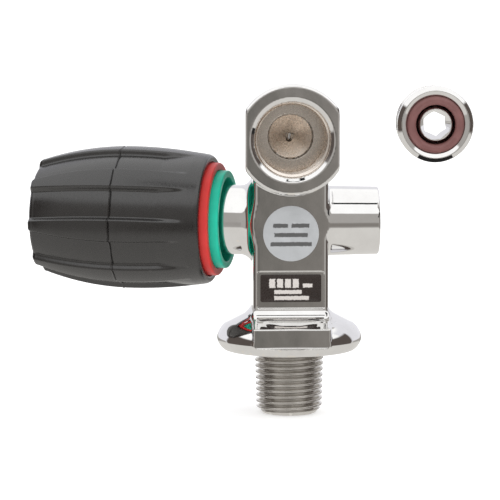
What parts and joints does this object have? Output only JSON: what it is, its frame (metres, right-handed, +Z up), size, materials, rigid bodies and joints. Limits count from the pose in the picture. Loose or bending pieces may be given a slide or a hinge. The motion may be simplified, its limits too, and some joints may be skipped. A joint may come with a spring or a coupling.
{
  "type": "scuba tank valve",
  "caption": "Chromed scuba cylinder valve with tapered tank thread, threaded gas outlet, ribbed hand knob with red and green rings, and a loose threaded insert.",
  "frame": {"origin": "centre of the flange's underside, on the tank thread's axis", "axes": "+Z up the tank thread's axis, -Y the side with the gas outlet, -X the knob's side"},
  "size_m": [0.1342, 0.0672, 0.1029],
  "materials": {
    "polished_chrome": "mirror-polished chrome plate on brass",
    "thread_metal": "bright turned metal",
    "brass": "plain machined brass",
    "steel": "plain machined steel",
    "copper_disc": "rolled copper foil",
    "black_rubber": "satin moulded rubber",
    "black_plastic": "moulded nylon",
    "red_plastic": "moulded red plastic",
    "green_plastic": "moulded green plastic",
    "brown_oring": "brown fluoroelastomer",
    "black_oring": "black nitrile",
    "white_nylon": "plain nylon",
    "grey_sticker": "satin grey foil with dark printed bars",
    "black_label": "black foil with pale printed bars"
  },
  "bodies": {
    "valve": {"tank_stub": "thread_metal", "valve_flange": "polished_chrome", "valve_block": "polished_chrome", "outlet_head": "polished_chrome", "control_neck": "polished_chrome", "side_stub": "polished_chrome", "bonnet_nut": "brass", "bonnet_oring": "black_oring", "thrust_washer": "white_nylon", "green_sleeve": "green_plastic", "red_ring": "red_plastic", "side_plug": "polished_chrome", "side_plug_oring": "black_oring", "burst_plug": "polished_chrome", "burst_disc": "copper_disc", "burst_gasket": "white_nylon", "round_sticker": "grey_sticker", "pressure_label": "black_label"},
    "stem": {"stem": "brass", "stem_orings": "black_oring", "knob_washer": "steel", "knob_nut": "steel"},
    "spindle": {"seat_spindle": "brass", "seat_disc": "white_nylon"},
    "knob": {"knob_grip": "black_rubber", "knob_core": "black_plastic", "knob_end_cap": "black_plastic", "knob_spring": "steel"},
    "insert": {"insert_body": "polished_chrome", "insert_face_oring": "brown_oring", "insert_rear_oring": "brown_oring"}
  },
  "joints": [
    {"name": "stem_turn", "type": "hinge", "parent": "valve", "child": "stem", "pos_m": [0, -0.001, 0.0395], "axis": [-0.9681, 0.2504, 0], "range_deg": [0, 1170]},
    {"name": "knob_travel", "type": "slide", "parent": "stem", "child": "knob", "axis": [0.9681, -0.2504, 0], "range_m": [0, 0.0026]},
    {"name": "spindle_travel", "type": "slide", "parent": "stem", "child": "spindle", "axis": [-0.9681, 0.2504, 0], "range_m": [0, 0.00325]},
    {"name": "insert_shift", "type": "slide", "parent": "valve", "child": "insert", "axis": [-0.9916, 0, -0.1295], "range_m": [0, 0.04246]}
  ],
  "couplings": [
    {"joint": "knob_travel", "follows": "stem_turn", "m_per_rad": 0.00012731},
    {"joint": "spindle_travel", "follows": "stem_turn", "m_per_rad": 0.00015914}
  ]
}
